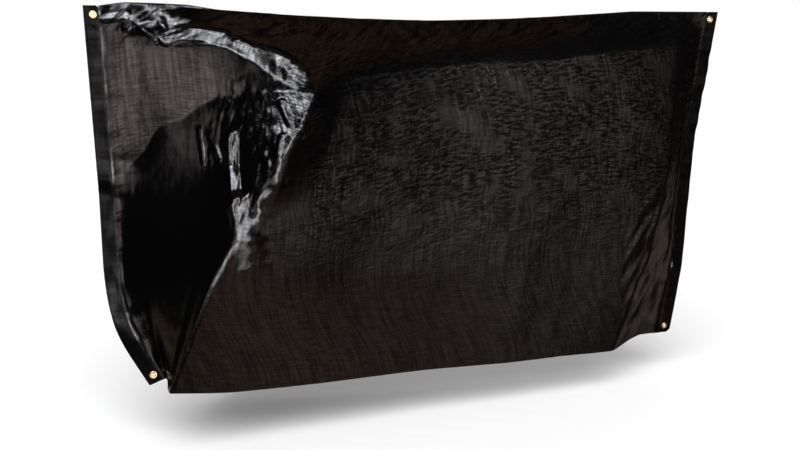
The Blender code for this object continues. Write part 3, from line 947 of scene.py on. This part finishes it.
# %% What the gloss mirrors
LIGHT_COLUMNS = ("azimuth", "elevation", "edge", "radiance", "colour")
SURROUNDINGS = {
    "grey wall": ((-40, -25), (-7, 4), 1.5, 2.3, "#fff0ed"),
    "grey wall, upper": ((-40, -29.5), (4, 13), 3.0, 2.3, "#fff0ed"),
    "grey wall, right": ((-25, -7), (-9, 4), 1.5, 1.9, "#fff0ed"),
    "grey wall, edge": ((-7, 2), (-9, 4), 1.5, 0.80, "#ffe6dc"),
    "overhead box": ((-42, 4), (39, 51), 1.5, 15.0, "#f6f8ff"),
    "strip box": ((5, 15), (-14, 43), 1.5, 10.5, "#fbfbff"),
    "right wall": ((19, 62), (-36, 4), 4.0, 0.06, "#ffd2c4"),
    "right wall, glow": ((24, 40), (-11, 10), 4.5, 0.68, "#fff0e6"),
    "right wall, low": ((17, 42), (-38, -18), 4.5, 0.30, "#ffd6c7"),
    "dim right": ((19, 62), (6, 45), 4.0, 0.04, "#dfe8ff"),
    "ceiling": ((60, 190), (66, 91), 3.0, 0.17, "#ffc49a"),
    "ceiling, left": ((-190, -30), (68, 91), 3.0, 0.10, "#ffdcc0"),
    "ceiling, right": ((30, 120), (50, 66), 3.0, 0.17, "#ffc49a"),
    "left floor": ((-135, -95), (-22, 0), 3.0, 0.24, "#ffe0cc"),
    "rear floor": ((72, 96), (-26, -10), 5.0, 0.40, "#ffe9dc"),
    "pale floor": ((-190, 190), (-91, -46), 8.0, 0.40, "#fff6f0"),
    "back wall": ((115, 190), (-36, 12), 6.0, 0.35, "#ffeee8"),
    "back box": ((-190, -152), (-10, 50), 4.0, 4.0, "#f6f8ff"),
}
print(len(SURROUNDINGS), "windows")

# %% [markdown]
# The world's shader is given a direction, so its two angles are worked out first. A window is the
# product of four smooth steps, one for each edge, times its colour and radiance. The windows are added.

# %% Build the windows
world = bpy.data.worlds.new("studio")
bpy.context.scene.world = world
world.use_nodes = True
tree = world.node_tree
tree.nodes.clear()
towards = add_node(tree, "SeparateXYZ", {}, {0: add_node(tree, "TexCoord").outputs["Generated"]}).outputs
to_near = add_node(tree, "Math", {"operation": "MULTIPLY"}, {0: towards["Y"], 1: -1.0})
angles = {
    "azimuth": add_node(tree, "Math", {"operation": "ARCTAN2"}, {0: towards["X"], 1: to_near}),
    "elevation": add_node(tree, "Math", {"operation": "ARCSINE"}, {0: towards["Z"]}),
}
glow = (0.0, 0.0, 0.0)
for row in SURROUNDINGS.values():
    pane = dict(zip(LIGHT_COLUMNS, row))
    steps = []
    for name, angle in angles.items():
        low, high = pane[name]
        half = pane["edge"] / 2
        for start, end in ((low - half, low + half), (high + half, high - half)):
            steps.append(add_node(tree, "MapRange", {"interpolation_type": "SMOOTHSTEP"}, {
                "Value": angle, "From Min": math.radians(start), "From Max": math.radians(end)}))
    inside = functools.reduce(
        lambda a, b: add_node(tree, "Math", {"operation": "MULTIPLY"}, {0: a, 1: b}), steps
    )
    light = [c * pane["radiance"] for c in linear(pane["colour"])[:3]]
    window = add_node(tree, "VectorMath", {"operation": "SCALE"}, {0: light, "Scale": inside})
    glow = add_node(tree, "VectorMath", {"operation": "ADD"}, {0: glow, 1: window})
print("the windows take", len(tree.nodes), "nodes")

# %% [markdown]
# The camera sees a plain white studio, and the floor gets an even fill and one large soft light, which
# leaves a soft shadow. The light is kept out of the gloss, where it would show as a disc.

# %% White studio and soft light
WHITE = linear("#ffffff")
FILL, SOFT_LIGHT = 0.45, 3.2
mirrored = add_node(tree, "Background", {}, {"Color": glow, "Strength": 1.0})
fill = add_node(tree, "Background", {}, {"Color": WHITE, "Strength": FILL})
plain = add_node(tree, "Background", {}, {"Color": WHITE, "Strength": 1.0})
ray = add_node(tree, "LightPath").outputs
lit = add_node(tree, "MixShader", {}, {0: ray["Is Glossy Ray"], 1: fill, 2: mirrored})
seen = add_node(tree, "MixShader", {}, {0: ray["Is Camera Ray"], 1: lit, 2: plain})
add_node(tree, "OutputWorld", {}, {"Surface": seen})

sun = bpy.data.lights.new("front_light", "SUN")
sun.energy = SOFT_LIGHT
sun.angle = math.radians(65)
front_light = bpy.data.objects.new("front_light", sun)
bpy.context.scene.collection.objects.link(front_light)
front_light.rotation_euler = (math.radians(45), 0, math.radians(-25))
front_light.visible_glossy = False
bpy.context.scene.view_settings.view_transform = "Standard"
print("soft light of", SOFT_LIGHT, "and a fill of", FILL)

# %% [markdown]
# ## Hand the pieces over
#
# Every piece rides on the one body of the part and stands for a solid of the imported model.

# %% Bodies and solids
for piece, node, slot in (
    (cover, "cover", "black_woven_sheet"),
    (strips["front"], "seam_front", "black_woven_sheet"),
    (strips["rear"], "seam_rear", "black_woven_sheet"),
    *[(eyelets[corner], "eyelet_" + corner, "brass") for corner in EYELETS],
):
    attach(piece, "root")
    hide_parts(node)
    print(piece.name, "stands for", node)
